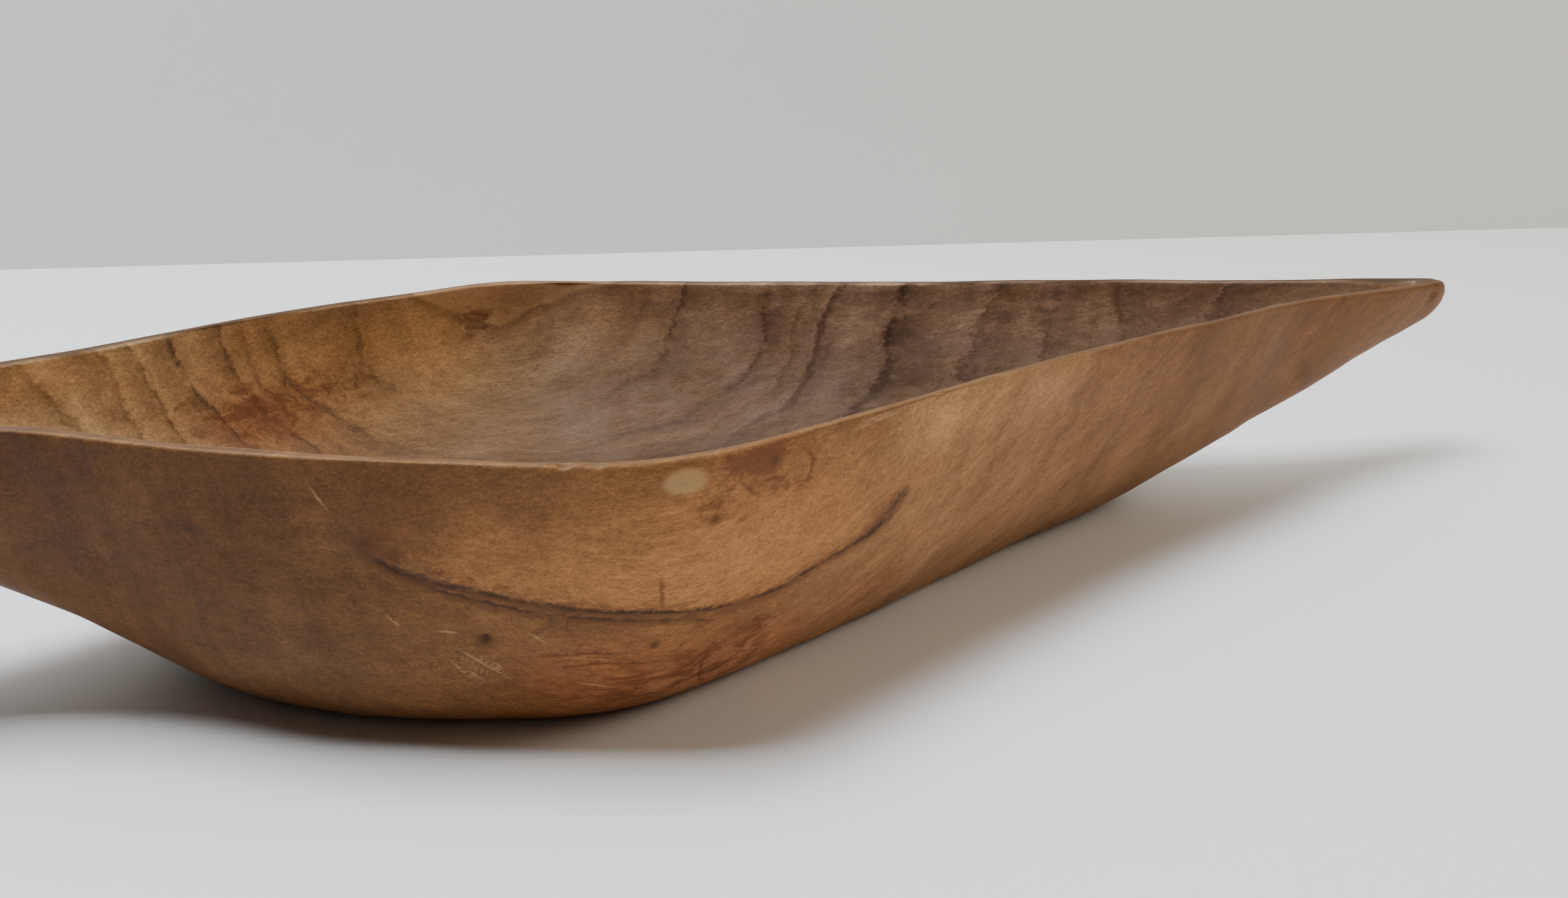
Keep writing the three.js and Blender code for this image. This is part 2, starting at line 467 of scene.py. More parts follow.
def roll_nose(grid):
    """Rolls the rim down over the last few millimetres of the tip, into a blunt round nose."""
    from_tip = LENGTH / 2 - grid[..., 0]
    grid[..., 2] -= NOSE_DROP * (1 - rounding(np.maximum(from_tip, 0), NOSE_ROLL))
    return grid


def flatten_foot(grid):
    """Planes the foot flat on the table, with a softly rounded edge."""
    z = grid[..., 2]
    eased = (z + FOOT_ROUND) ** 2 / (4 * FOOT_ROUND)
    grid[..., 2] = np.where(z < -FOOT_ROUND, 0, np.where(z > FOOT_ROUND, z, eased))
    return grid


# ---------------------------------------------------------------- tints
# Soft patches of colour: name, centre, radii, colour, strength. Colours are linear albedo.
OUTER_BASE = (0.220, 0.098, 0.034)
INNER_BASE = (0.340, 0.200, 0.105)
OUTER_PATCHES = [
    # The grey patch at the left and the dark patch by the stalk end are partly the wood's grey colour,
    # partly painted shade on the side turned from the light.
    ("grey_left_and_painted_shade", (-128, -36, 26), (50, 60, 34), (0.120, 0.053, 0.018), 0.95),
    ("golden_right", (22, -46, 28), (66, 40, 34), (0.350, 0.175, 0.072), 0.92),
    ("tip_end", (150, -12, 40), (60, 40, 30), (0.200, 0.083, 0.026), 0.85),
    ("under_rim_left", (-100, -56, 47), (24, 30, 9), (0.135, 0.056, 0.019), 0.7),
    ("stalk_wood_and_painted_shade", (-140, -28, 50), (26, 30, 12), (0.088, 0.036, 0.012), 0.8),
    ("under_rim_middle", (-66, -67, 48), (12, 14, 6), (0.270, 0.125, 0.045), 0.7),
    ("pale_shoulder", (12, -50, 48), (28, 20, 9), (0.500, 0.270, 0.115), 0.8),
    ("red_belly", (-51, -50, 8), (38, 40, 12), (0.310, 0.112, 0.039), 0.9),
    ("belly_right", (-33, -52, 6), (15, 30, 8), (0.430, 0.180, 0.072), 0.7),
    ("low_left", (-104, -43, 11), (26, 28, 11), (0.165, 0.085, 0.036), 0.75),
    ("crack_smudge", (-98, -54, 39.5), (5, 12, 3.5), (0.075, 0.036, 0.020), 0.6),
]
SAPWOOD = (0.440, 0.200, 0.070)
SAPWOOD_MIDDLE, SAPWOOD_SIZE = (-45, -64, 34), (42, 30, 13)
LOW_LIFT = (0.22, 0.32, 0.55)  # how much paler the outside gets towards the foot
# Painted shade: the flat top of the rim is coloured darker than the wood, where the lamp above would
# light it.
RIM_PAINTED_SHADE = (0.130, 0.062, 0.025)
RIM_EDGE = (0.250, 0.125, 0.048)  # its outer corner, partly worn pale and partly a painted highlight
# the dark spots' colour; in the pit it is painted shade
SPOT_AND_PAINTED_PIT_SHADE = (0.050, 0.022, 0.010)
INNER_PATCHES = [
    ("golden_left", (-135, 20, 42), (50, 60, 40), (0.580, 0.385, 0.205), 0.95),
    ("golden_middle", (-85, 55, 40), (36, 30, 20), (0.500, 0.300, 0.128), 0.85),
    # Painted shade: the inside just under the far rim is coloured darker.
    ("under_far_rim_painted_shade", (-88, 58, 53), (30, 20, 7), (0.300, 0.170, 0.085), 0.7),
    ("above_v_line", (-43, 66, 51), (26, 20, 6), (0.520, 0.310, 0.175), 0.75),
    ("left_floor", (-108, 38, 23), (48, 40, 13), (0.285, 0.140, 0.060), 0.85),
    ("stalk_floor", (-150, 8, 44), (26, 16, 5), (0.380, 0.245, 0.130), 0.8),
    ("purple_right", (60, 26, 44), (90, 60, 24), (0.500, 0.340, 0.225), 0.95),
    ("tip_inside", (145, 8, 46), (45, 30, 20), (0.440, 0.320, 0.230), 0.9),
    ("red_patch", (-112, 42, 33), (18, 20, 9), (0.340, 0.120, 0.038), 0.6),
]
# Painted shade: a dark colour laid over the floor of the hollow.
HOLLOW_FLOOR_PAINTED_SHADE = (0.085, 0.045, 0.022)
HOLLOW_FLOOR_PAINTED_SHADE_MIDDLE, HOLLOW_FLOOR_PAINTED_SHADE_SIZE = (-30, 4, 8), (160, 48, 17)
# Places where red-brown blotches gather: centre, radii, strength.
OUTER_STAINS = [
    ((-40, -66, 48.5), (9, 20, 4.5), 1.0), ((-33, -62, 45), (6, 14, 4), 0.7),
    ((-47, -66, 43), (5, 14, 3.5), 0.8), ((-55, -67, 38), (9, 14, 4), 0.55),
    ((-94, -56, 38.5), (9, 12, 4), 0.7), ((-50, -50, 10), (26, 30, 8), 0.85),
    ((-92, -50, 24), (22, 30, 12), 0.35), ((-72, -60, 27), (20, 20, 3.5), 0.6),
    ((-37, -55, 12), (7, 20, 7), 0.9), ((-36, -64, 51), (9, 16, 3.5), 0.6),
]
INNER_STAINS = [
    ((-112, 42, 33), (16, 16, 8), 0.9), ((-128, 32, 38), (14, 14, 8), 0.5),
    ((-96, 52, 34), (16, 14, 9), 0.6), ((-59, 64, 43), (9, 12, 4.5), 0.95),
]
PALE_OVAL, OVAL_SIZE = (-52, -69.5, 48.6), (3.8, 14, 2.3)


def nearness(grid, centre, radii, wander=0):
    """1 at the centre of an ellipsoid, fading past its surface."""
    away = (grid - np.array(centre, float)) / np.array(radii, float) + wander
    return np.exp(-1.1 * (away**2).sum(-1) ** 1.25)


def above_crack(grid):
    """1 above the crack on the near wall, 0 below it."""
    line = np.array(CRACK_UPPER)
    height = np.interp(grid[..., 0], line[:, 0], line[:, 1])
    return step_up(grid[..., 2] - height, -0.7, 0.7)


def hollow_painted_shade(grid, left):
    """Painted shade: the hollow is darker towards its floor, and at the near side of its two ends."""
    top = step_up(grid[..., 2], 25 - 6 * left, 48 - 14 * left)
    ends = step_up(abs(grid[..., 0] + 20), 60, 120) * (1 - step_up(grid[..., 1], 0, 18))
    return (0.48 + 0.12 * left + (0.80 - 0.22 * left) * top) * (1 - 0.35 * ends)


def tint(grid, skin):
    """The wood's regional colour at each grid point, with painted shade on the rim, in the hollow, at the
    left end of the outside and in the pit, and a painted highlight on the rim's outer corner.
    """
    drift = [waves(grid, TINT_WANDER_SIZE, seed) for seed in TINT_SEEDS]
    wander = TINT_WANDER * np.stack(drift, axis=-1)

    def layer(base, patches):
        colour = np.broadcast_to(np.array(base), grid.shape).copy()
        for _, centre, radii, shade, strength in patches:
            share = strength * nearness(grid, centre, radii, wander)
            colour += (np.array(shade) - colour) * share[..., None]
        return colour

    outer, inner = layer(OUTER_BASE, OUTER_PATCHES), layer(INNER_BASE, INNER_PATCHES)
    # painted shade over the hollow's floor
    floor = 0.9 * nearness(grid, HOLLOW_FLOOR_PAINTED_SHADE_MIDDLE, HOLLOW_FLOOR_PAINTED_SHADE_SIZE)
    inner += (np.array(HOLLOW_FLOOR_PAINTED_SHADE) - inner) * floor[..., None]
    sap = nearness(grid, SAPWOOD_MIDDLE, SAPWOOD_SIZE, 0.6 * wander)
    sap = np.minimum(1.25 * sap, 1) * above_crack(grid)
    outer += (np.array(SAPWOOD) - outer) * sap[..., None]
    left = step_up(-grid[..., 0], 40, 80)
    low = (1 - step_up(grid[..., 2], 8, 34)) * (1 - 0.75 * left)
    outer *= 1 + np.array(LOW_LIFT) * low[..., None]
    inner *= hollow_painted_shade(grid, left)[..., None]
    wall = Wall(grid)
    for x, z, radius in SPOTS:
        away = np.linalg.norm(grid - wall.point(x, z), axis=-1)
        outer += (np.array(SPOT_AND_PAINTED_PIT_SHADE) - outer) * (0.85 * bump(away, 0, radius))[..., None]
    share = step_up(skin, 0.45, 0.95)[..., None]
    colour = outer * (1 - share) + inner * share
    # Painted shade on the rim: its flat takes the darker colour, darker again towards the tip and along
    # the far rim, with a paler outer corner as a painted highlight.
    rim = 0.85 * np.minimum(8 * skin * (1 - skin), 1)[..., None]
    edge = bump(skin, 0.22, 0.16)[..., None]
    rim_painted_shade_falloff = (1 - 0.45 * step_up(grid[..., 0], -40, 40)) * (1 - 0.72 * step_up(grid[..., 1], -5, 5))
    rim_painted_shade_colour = (np.array(RIM_PAINTED_SHADE) + (np.array(RIM_EDGE) - RIM_PAINTED_SHADE) * edge) * rim_painted_shade_falloff[..., None]
    return colour * (1 - rim) + rim_painted_shade_colour * rim


PITH_Y, PITH_Z = 5, 43  # the heart of the tree runs lengthwise here
RING_SQUASH = 0.7  # below 1, so the rings are taller than they are wide
GRAIN_SLANT, SLANT_START = 0.40, -20  # the grain climbs towards the tip on the outside
# Lower edge of the pale sapwood inside the far wall, as (x, height).
SAPWOOD_EDGE = [
    (-200, 90), (-77, 54.5), (-66, 47.0), (-54, 41.5), (-44, 45.5), (-32, 49.5), (-19, 54),
    (200, 120),
]


def ring_radius(grid, skin):
    """Distance from the heart; growth rings are its level lines."""
    height = RING_SQUASH * (grid[..., 2] - PITH_Z)
    radius = np.hypot(grid[..., 1] - PITH_Y, height)
    near_wall = (grid[..., 1] < 0) * (1 - skin)
    return radius - 12 * near_wall * bump(grid[..., 0], -58, 35)


def stain_share(grid, skin):
    share = np.zeros(skin.shape)
    for side, stains in ((1 - skin, OUTER_STAINS), (skin, INNER_STAINS)):
        for centre, radii, strength in stains:
            share = np.maximum(share, side * strength * nearness(grid, centre, radii))
    return share


def surface_attributes(grid, skin):
    """Everything the wood material reads from the mesh."""
    normal = grid_normals(grid)
    wall = Wall(grid)
    outer = 1 - skin
    upper, upper_strength = strokes(grid, normal, wall, [CRACK_UPPER])
    lower, lower_strength = strokes(grid, normal, wall, [CRACK_LOWER, CRACK_HOOK])
    scratch_and_glint, scratch_and_glint_strength = strokes(grid, normal, wall, SCRATCHES_AND_GLINT)
    figure, figure_strength = strokes(grid, normal, wall, FIGURE_MARKS + CRACK_DASHES)
    band = (upper > 0) * (lower < 0)
    extra = 0.9 * bump(grid[..., 0], -9, 7) + 0.4 * bump(grid[..., 0], -88, 9)
    upper = np.sign(upper) * np.maximum(np.abs(upper) - extra, 0)
    line = np.array(SAPWOOD_EDGE)
    beyond = grid[..., 2] - np.interp(grid[..., 0], line[:, 0], line[:, 1])
    oval = (((grid - np.array(PALE_OVAL)) / np.array(OVAL_SIZE)) ** 2).sum(-1)
    plain = 1 - 0.9 * bump(grid[..., 0], -55, 26)
    far_inside = (skin > 0.7) * (grid[..., 1] > 0)
    return {
        "skin": skin,
        "ring": ring_radius(grid, skin),
        "ring_share": outer * 0.30 + skin * 0.9 * plain,
        "sapwood": np.clip(beyond, -8, 8),
        "sapwood_share": far_inside * np.clip(1 - np.abs(beyond) / 60, 0, 1),
        "slant": outer * GRAIN_SLANT * np.maximum(grid[..., 0] - SLANT_START, 0),
        "purple": skin * nearness(grid, (45, 26, 42), (105, 70, 24)),
        "stain": stain_share(grid, skin),
        "pale_oval": outer * np.clip(2 - np.sqrt(oval), 0, 2),
        "crack_upper": upper, "crack_upper_strength": upper_strength * outer,
        "crack_lower": lower, "crack_lower_strength": lower_strength * outer,
        "crack_band": band * outer * np.minimum(upper_strength, lower_strength),
        "scratch_and_glint": scratch_and_glint, "scratch_and_glint_strength": scratch_and_glint_strength * outer,
        "figure": figure, "figure_strength": figure_strength * outer,
    }


# ---------------------------------------------------------------- the mesh
MERGE_DISTANCE = 0.002  # closes the grid's two ends


def make_mesh(name, grid, values, colours):
    rows, columns = grid.shape[:2]
    index = np.arange(rows * columns).reshape(rows, columns)
    here, right = index[:-1], np.roll(index, -1, axis=1)[:-1]
    above, above_right = index[1:], np.roll(index, -1, axis=1)[1:]
    quads = np.stack([here, right, above_right, above], axis=-1).reshape(-1, 4)
    mesh = bpy.data.meshes.new(name)
    mesh.from_pydata((grid.reshape(-1, 3) * MM).tolist(), [], quads.tolist())
    for key, value in values.items():
        layer = mesh.attributes.new(key, "FLOAT", "POINT")
        layer.data.foreach_set("value", np.ascontiguousarray(value, np.float32).ravel())
    layer = mesh.color_attributes.new("tint", "FLOAT_COLOR", "POINT")
    rgba = np.concatenate([colours, np.ones(colours.shape[:2] + (1,))], axis=-1)
    layer.data.foreach_set("color", rgba.astype(np.float32).ravel())

    work = bmesh.new()
    work.from_mesh(mesh)
    bmesh.ops.remove_doubles(work, verts=work.verts, dist=MERGE_DISTANCE * MM)
    bmesh.ops.dissolve_degenerate(work, edges=work.edges, dist=MERGE_DISTANCE * MM)
    bmesh.ops.recalc_face_normals(work, faces=work.faces)
    for face in work.faces:
        face.smooth = True
    work.to_mesh(mesh)
    work.free()
    return mesh


# ---------------------------------------------------------------- material
class Graph:
    """Short names for building a material's node tree."""

    def __init__(self, name):
        self.material = bpy.data.materials.new(name)
        self.material.use_nodes = True
        self.tree = self.material.node_tree
        self.tree.nodes.clear()

    def add(self, kind, **settings):
        node = self.tree.nodes.new(kind)
        for key, value in settings.items():
            setattr(node, key, value)
        return node

    def plug(self, socket, value):
        if isinstance(value, bpy.types.NodeSocket):
            self.tree.links.new(value, socket)
        elif value is not None:
            socket.default_value = value

    def math(self, operation, a, b=None):
        node = self.add("ShaderNodeMath", operation=operation)
        self.plug(node.inputs[0], a)
        self.plug(node.inputs[1], b)
        return node.outputs[0]

    def scaled(self, value, low, high):
        """A 0 to 1 value stretched to low to high."""
        node = self.add("ShaderNodeMapRange")
        self.plug(node.inputs["Value"], value)
        self.plug(node.inputs["To Min"], low)
        self.plug(node.inputs["To Max"], high)
        return node.outputs[0]

    def step(self, value, low, high):
        """0 below low and 1 above high, or the other way round when low is the greater."""
        node = self.add("ShaderNodeMapRange", interpolation_type="SMOOTHSTEP")
        self.plug(node.inputs["Value"], value)
        self.plug(node.inputs["From Min"], low)
        self.plug(node.inputs["From Max"], high)
        return node.outputs[0]

    def attribute(self, name, output="Fac"):
        return self.add("ShaderNodeAttribute", attribute_name=name).outputs[output]

    def mapped(self, vector, scale, rotation=(0, 0, 0)):
        node = self.add("ShaderNodeMapping")
        self.plug(node.inputs["Vector"], vector)
        node.inputs["Scale"].default_value = scale
        node.inputs["Rotation"].default_value = rotation
        return node.outputs[0]

    def vector(self, x, y, z):
        node = self.add("ShaderNodeCombineXYZ")
        for socket, value in zip(node.inputs, (x, y, z)):
            self.plug(socket, value)
        return node.outputs[0]

    def noise(self, vector, scale=1.0, detail=2.0, roughness=0.5, distortion=0.0):
        node = self.add("ShaderNodeTexNoise")
        self.plug(node.inputs["Vector"], vector)
        node.inputs["Scale"].default_value = scale
        node.inputs["Detail"].default_value = detail
        node.inputs["Roughness"].default_value = roughness
        node.inputs["Distortion"].default_value = distortion
        return node.outputs["Fac"]

    def mix(self, share, a, b, blend="MIX"):
        node = self.add("ShaderNodeMix", data_type="RGBA", blend_type=blend)
        self.plug(node.inputs[0], share)
        self.plug(node.inputs[6], a)
        self.plug(node.inputs[7], b)
        return node.outputs[2]

    def ramp(self, value, stops):
        node = self.add("ShaderNodeValToRGB")
        elements = node.color_ramp.elements
        while len(elements) < len(stops):
            elements.new(1.0)
        for element, (at, colour) in zip(elements, stops):
            element.position = at
            element.color = colour
        self.plug(node.inputs[0], value)
        return node.outputs[0]


def grey(value):
    return (value, value, value, 1)


# Growth rings: radius, width of the dark line, how dark it is, and how far it fades inwards.
RINGS = [
    (8, 0.6, 0.6, 4), (16, 0.6, 0.6, 5), (21, 0.6, 0.6, 4.5), (25, 0.6, 0.7, 3.5),
    (31, 0.8, 1.0, 6.5), (36.8, 0.6, 0.9, 4), (39.4, 0.4, 0.5, 2), (42.6, 0.6, 0.8, 3),
    (50, 0.6, 0.75, 5),
]
RING_SPAN = 80  # the rings' ramp runs over this range of radius
RAMP_SHARE = 5  # rings to one ramp, which can hold only so many stops
SAPWOOD_INSIDE = (0.500, 0.290, 0.135, 1)


def ring_stops(rings):
    """Each ring is a sharp dark line that fades towards the heart."""
    stops = [(0, grey(0))]
    for radius, width, dark, fade in rings:
        stops.append(((radius - fade) / RING_SPAN, grey(0)))
        stops.append(((radius - width) / RING_SPAN, grey(dark * 0.5)))
        stops.append((radius / RING_SPAN, grey(dark)))
        stops.append(((radius + width * 0.5) / RING_SPAN, grey(0)))
    return stops


def contrast(g, colour, field, low, high, share=1.0, spread=0.12):
    """Multiplies the colour by low where the field is small and by high where it is large."""
    shades = g.ramp(field, [(0.5 - spread, low), (0.5 + spread, high)])
    return g.mix(share, colour, shades, "MULTIPLY")


def add_fibre(g, mm, colour):
    """Streaks and mottling from a few centimetres down to a few tenths of a millimetre."""
    broad = g.noise(g.mapped(mm, (0.016, 0.16, 0.16)), 1.0, 3, 0.6)
    blotch = g.noise(g.mapped(mm, (0.04, 0.09, 0.09)), 1.0, 4, 0.65, 0.6)
    mottle = g.noise(g.mapped(mm, (0.22, 0.42, 0.42)), 1.0, 4, 0.7, 0.4)
    streak = g.noise(g.mapped(mm, (0.045, 0.65, 0.65)), 1.0, 3, 0.65)
    grain = g.noise(mm, 2.2, 2, 0.6)
    hair = g.noise(g.mapped(mm, (0.9, 4.5, 4.5)), 1.0, 2, 0.6)
    fine = g.noise(g.mapped(mm, (0.42, 2.0, 2.0)), 1.0, 3, 0.7)
    colour = contrast(g, colour, broad, (0.93, 0.92, 0.91, 1), grey(1.07))
    colour = contrast(g, colour, blotch, (0.94, 0.92, 0.90, 1), (1.04, 1.05, 1.05, 1))
    colour = contrast(g, colour, mottle, (0.94, 0.92, 0.91, 1), grey(1.05))
    colour = contrast(g, colour, streak, grey(0.91), grey(1.09))
    colour = contrast(g, colour, fine, grey(0.86), grey(1.14))
    colour = contrast(g, colour, grain, grey(0.90), grey(1.10))
    colour = contrast(g, colour, hair, grey(0.90), grey(1.10))
    return colour, fine, streak, mottle


def add_rings(g, mm, colour, ring):
    """Dark growth rings, the banding between them, and the sapwood beyond the heartwood."""
    share = g.math("DIVIDE", ring, RING_SPAN)
    first = g.ramp(share, ring_stops(RINGS[:RAMP_SHARE]))
    lines = g.math("MAXIMUM", first, g.ramp(share, ring_stops(RINGS[RAMP_SHARE:])))
    broken = g.step(g.noise(g.mapped(mm, (0.13, 0.2, 0.2)), 1.0, 3, 0.65), 0.36, 0.56)
    strength = g.math("MULTIPLY", lines, g.scaled(broken, 0.42, 1.0))
    strength = g.math("MULTIPLY", strength, g.attribute("ring_share"))
    bands = g.noise(g.vector(ring, 0, 0), 0.33, 4, 0.65)
    colour = contrast(g, colour, bands, (0.77, 0.74, 0.75, 1), grey(1.14), 0.64)
    colour = g.mix(strength, colour, (0.055, 0.028, 0.020, 1))
    inside = g.attribute("sapwood_share")
    height = g.math("ADD", g.attribute("sapwood"), g.math("SUBTRACT", ring, g.attribute("ring")))
    sapwood = g.math("MULTIPLY", g.step(height, -0.2, 0.8), inside)
    edge = g.math("MULTIPLY", g.step(height, -3.5, -0.1), g.step(height, 0.9, 0.1))
    edge = g.math("MULTIPLY", edge, inside)
    colour = g.mix(g.math("MULTIPLY", edge, 0.45), colour, (0.130, 0.058, 0.030, 1))
    return g.mix(g.math("MULTIPLY", sapwood, 0.5), colour, SAPWOOD_INSIDE)


def add_purple(g, mm, colour):
    """Grey-purple mottling on the inside of the narrow half."""
    cloud = g.noise(g.mapped(mm, (0.10, 0.22, 0.22)), 1.0, 5, 0.7, 0.8)
    share = g.math("MULTIPLY", g.step(cloud, 0.42, 0.62), g.attribute("purple"))
    return g.mix(g.math("MULTIPLY", share, 0.6), colour, (0.290, 0.185, 0.150, 1))


def add_stains(g, mm, colour):
    """Red-brown blotches with ragged edges, and the pale oval scar under the rim."""
    cloud = g.noise(g.mapped(mm, (0.16, 0.34, 0.34)), 1.0, 4, 0.72, 0.6)
    cloud = g.math("ADD", cloud, g.scaled(g.attribute("stain"), -0.14, 0.13))
    share = g.math("MULTIPLY", g.step(cloud, 0.44, 0.66), g.step(g.attribute("stain"), 0.02, 0.6))
    colour = g.mix(g.math("MULTIPLY", share, 0.75), colour, (0.150, 0.050, 0.018, 1))
    ragged = g.math("ADD", g.attribute("pale_oval"), g.scaled(cloud, -0.25, 0.25))
    oval = g.step(ragged, 0.80, 1.30)
    return g.mix(g.math("MULTIPLY", oval, 0.85), colour, (0.440, 0.260, 0.110, 1))


def line_share(g, name, jitter, width, raggedness):
    """1 on a drawn line, with an uneven edge and width."""
    wobble = g.scaled(jitter, -raggedness, raggedness)
    away = g.math("ABSOLUTE", g.math("ADD", g.attribute(name), wobble))
    uneven = g.math("ADD", away, g.scaled(jitter, -width * 1.2, width * 1.2))
    return g.math("MULTIPLY", g.step(uneven, width, width * 0.2), g.attribute(name + "_strength"))


def add_marks(g, mm, colour):
    """The crack with its bruised band, dark figure lines, pale scratches and a painted glint under the
    near rim.
    """
    def draw(name, width, raggedness, share, shade):
        line = line_share(g, name, jitter, width, raggedness)
        return g.mix(g.math("MULTIPLY", line, share), colour, shade)

    bruise = g.math("MULTIPLY", g.attribute("crack_band"), 0.75)
    colour = g.mix(bruise, colour, (0.120, 0.066, 0.042, 1))
    jitter = g.noise(g.mapped(mm, (0.6, 1.2, 1.2)), 1.0, 4, 0.7)
    patchy = g.noise(g.mapped(mm, (0.22, 0.5, 0.5)), 1.0, 3, 0.6)
    core = g.scaled(g.step(patchy, 0.40, 0.56), 0.25, 0.85)
    colour = draw("crack_upper", 2.2, 1.4, 0.50, (0.130, 0.050, 0.022, 1))
    colour = draw("crack_lower", 1.7, 1.4, 0.45, (0.130, 0.050, 0.022, 1))
    colour = draw("crack_upper", 0.62, 1.0, core, (0.060, 0.028, 0.015, 1))
    colour = draw("crack_lower", 0.50, 1.0, core, (0.066, 0.031, 0.017, 1))
    colour = draw("figure", 0.6, 1.0, 0.7, (0.13, 0.042, 0.018, 1))
    # pale scratches, and the painted glint under the near rim
    return draw("scratch_and_glint", 0.34, 0.25, 0.6, (0.48, 0.28, 0.14, 1))


def wood_material():
    g = Graph("carved_wood")
    place = g.add("ShaderNodeTexCoord").outputs["Object"]
    mm = g.mapped(place, (1000, 1000, 1000), (0, math.radians(3), 0))
    slanted = g.add("ShaderNodeVectorMath", operation="SUBTRACT")
    g.plug(slanted.inputs[0], mm)
    g.plug(slanted.inputs[1], g.vector(0, 0, g.attribute("slant")))
    mm = slanted.outputs[0]

    # slow and quick wander, to bend the growth rings
    sway = g.noise(mm, 0.05, 2)
    jitter = g.noise(g.mapped(mm, (0.35, 0.8, 0.8)), 1.0, 4, 0.65)
    ring = g.math("ADD", g.attribute("ring"), g.scaled(sway, -2.6, 2.6))
    ring = g.math("ADD", ring, g.scaled(jitter, -1.0, 1.0))

    colour, fine, streak, mottle = add_fibre(g, mm, g.attribute("tint", "Color"))
    colour = add_purple(g, mm, colour)
    colour = add_rings(g, mm, colour, ring)
    colour = add_stains(g, mm, colour)
    colour = add_marks(g, mm, colour)

    # pores: short dark dashes along the fibre
    pores = g.noise(g.mapped(mm, (0.55, 3.2, 3.2)), 1.0, 1, 0.5)
    pores = g.step(pores, 0.64, 0.74)
    colour = g.mix(g.math("MULTIPLY", pores, 0.38), colour, (0.075, 0.034, 0.016, 1))

    roughness = g.scaled(streak, 0.48, 0.66)
    height = g.math("ADD", g.math("MULTIPLY", fine, 0.6), g.math("MULTIPLY", mottle, 0.6))
    height = g.math("SUBTRACT", height, g.math("MULTIPLY", pores, 0.5))
    relief = g.add("ShaderNodeBump")
    relief.inputs["Strength"].default_value = 0.24
    relief.inputs["Distance"].default_value = 0.00025
    g.plug(relief.inputs["Height"], height)

    shader = g.add("ShaderNodeBsdfPrincipled")
    shader.inputs["Specular IOR Level"].default_value = 0.14
    g.plug(shader.inputs["Base Color"], colour)
    g.plug(shader.inputs["Roughness"], roughness)
    g.plug(shader.inputs["Normal"], relief.outputs[0])
    output = g.add("ShaderNodeOutputMaterial")
    g.plug(output.inputs["Surface"], shader.outputs[0])
    return g.material


# ---------------------------------------------------------------- the dish
def make_dish():
    grid, skin = dish_grid()
    grid = carve(grid, skin)
    mesh = make_mesh("wood_dish", grid, surface_attributes(grid, skin), tint(grid, skin))
    mesh.materials.append(wood_material())
    dish = bpy.data.objects.new("wood_dish", mesh)
    bpy.context.scene.collection.objects.link(dish)
    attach(dish, "root")
    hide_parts(NODE)


# ---------------------------------------------------------------- stage
WALL_DISTANCE = 388  # from the dish's middle to the backdrop
WALL_TURN = -10.8  # degrees
STAGE_SIZE = 3000  # how far the floor and the backdrop reach


def plain_material(name, colour, roughness):
    g = Graph(name)
    place = g.add("ShaderNodeTexCoord").outputs["Object"]
    cloud = g.noise(place, 1.5, 2)
    shade = g.mix(g.scaled(cloud, 0.0, 0.04), colour + (1,), (0.3, 0.3, 0.3, 1))
    shader = g.add("ShaderNodeBsdfPrincipled")
    shader.inputs["Roughness"].default_value = roughness
    g.plug(shader.inputs["Base Color"], shade)
    output = g.add("ShaderNodeOutputMaterial")
    g.plug(output.inputs["Surface"], shader.outputs[0])
    return g.material


def make_plane(name, corners, material):
    mesh = bpy.data.meshes.new(name)
    points = [(np.array(corner) * MM).tolist() for corner in corners]
    mesh.from_pydata(points, [], [tuple(range(len(points)))])
    mesh.materials.append(material)
    plane = bpy.data.objects.new(name, mesh)
    bpy.context.scene.collection.objects.link(plane)


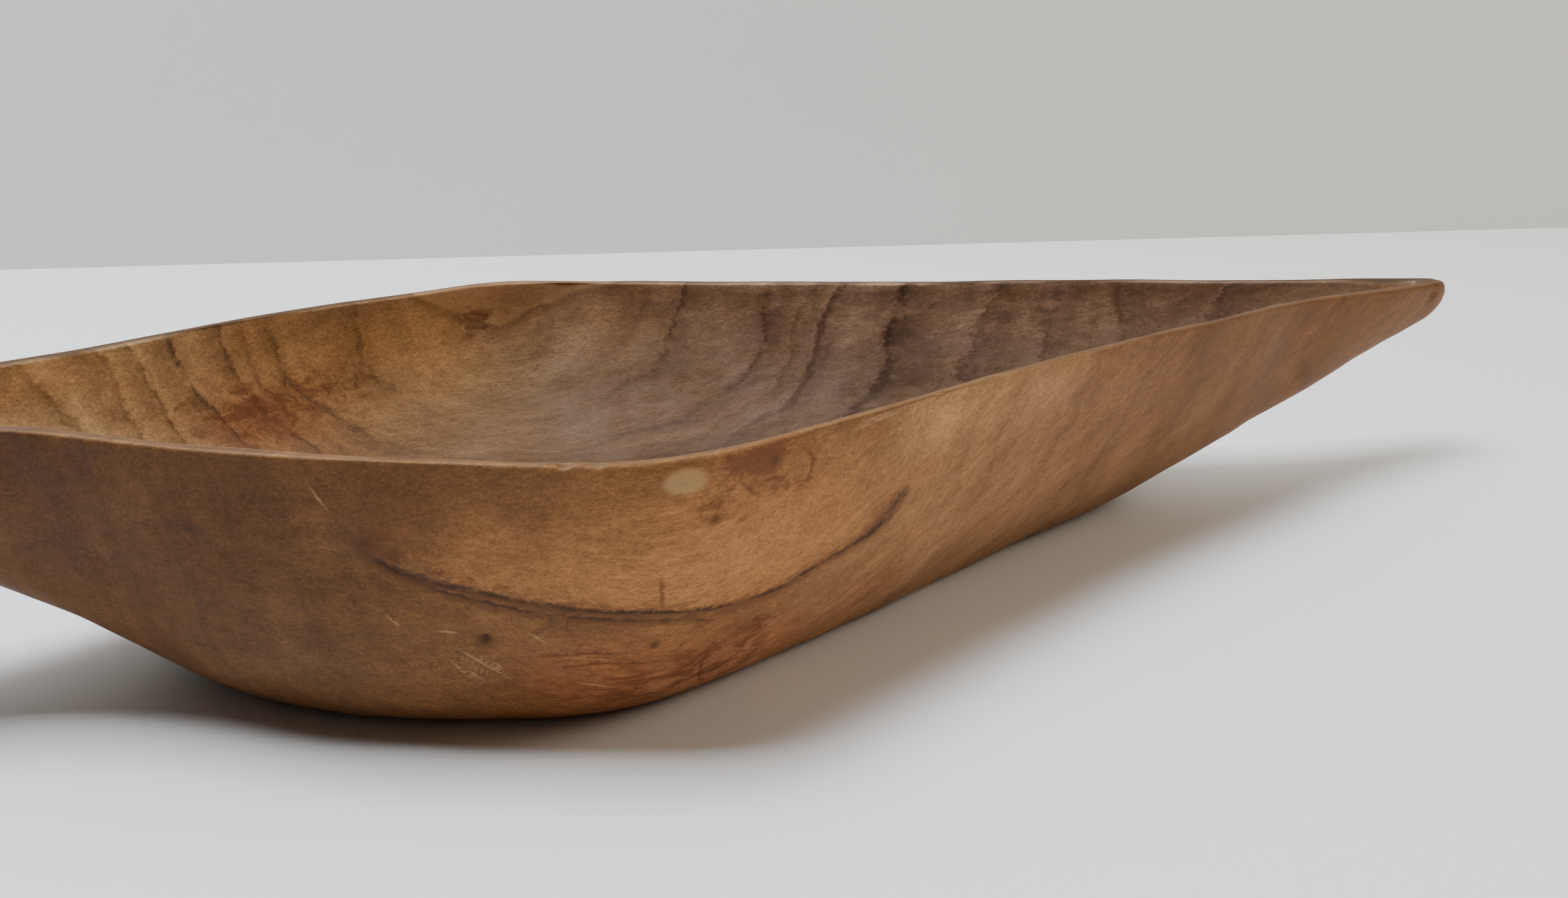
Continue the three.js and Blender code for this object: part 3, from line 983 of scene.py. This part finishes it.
def make_stage():
    floor = plain_material("pale_floor", (0.82, 0.825, 0.83), 0.45)
    wall = plain_material("pale_wall", (0.74, 0.735, 0.70), 0.8)
    turn = math.radians(WALL_TURN)
    along = np.array([math.cos(turn), math.sin(turn), 0])
    away = np.array([-math.sin(turn), math.cos(turn), 0])
    back = away * WALL_DISTANCE
    left, right = back - along * STAGE_SIZE, back + along * STAGE_SIZE
    front = -away * STAGE_SIZE
    make_plane("floor", [left + front, right + front, right, left], floor)
    up = np.array([0, 0, STAGE_SIZE])
    make_plane("backdrop", [left, right, right + up, left + up], wall)


def area_light(name, place, target, size, power, colour):
    data = bpy.data.lights.new(name, "AREA")
    data.shape = "RECTANGLE"
    data.size = size * MM
    data.size_y = size * MM
    data.energy = power
    data.color = colour
    light = bpy.data.objects.new(name, data)
    light.location = Vector(place) * MM
    aim = Vector(target) * MM - light.location
    light.rotation_euler = aim.to_track_quat("-Z", "Y").to_euler()
    bpy.context.scene.collection.objects.link(light)


def make_lights():
    area_light("lamp", (-510, 165, 1450), (0, 0, 0), 560, 40, (0.91, 0.955, 1.0))
    area_light("window", (1150, -330, 700), (0, 0, 30), 600, 8, (1.0, 0.87, 0.70))
    world = bpy.data.worlds.new("room")
    world.use_nodes = True
    background = world.node_tree.nodes["Background"]
    background.inputs["Color"].default_value = (1.0, 0.88, 0.72, 1)
    background.inputs["Strength"].default_value = 0.055
    bpy.context.scene.world = world


CAMERA_PLACE = (-103.7, -224.0, 111.1)
CAMERA_YAW = 23.65  # degrees from +Y towards +X
CAMERA_PITCH = 19.46  # degrees below the horizon
CAMERA_ROLL = -0.71
LENS, SENSOR = 27, 36  # mm


def make_camera():
    yaw, pitch, roll = (math.radians(a) for a in (CAMERA_YAW, CAMERA_PITCH, CAMERA_ROLL))
    level = Vector((math.cos(yaw), -math.sin(yaw), 0))
    flat = math.cos(pitch)
    ahead = Vector((math.sin(yaw) * flat, math.cos(yaw) * flat, -math.sin(pitch)))
    down = ahead.cross(level)
    right = level * math.cos(roll) + down * math.sin(roll)
    up = level * math.sin(roll) - down * math.cos(roll)
    data = bpy.data.cameras.new("camera")
    data.lens = LENS
    data.sensor_width = SENSOR
    data.clip_start = 0.01
    camera = bpy.data.objects.new("camera", data)
    turn = Matrix((right, up, -ahead)).transposed()
    camera.matrix_world = Matrix.Translation(Vector(CAMERA_PLACE) * MM) @ turn.to_4x4()
    bpy.context.scene.collection.objects.link(camera)
    bpy.context.scene.camera = camera


make_camera()
make_stage()
make_lights()
make_dish()
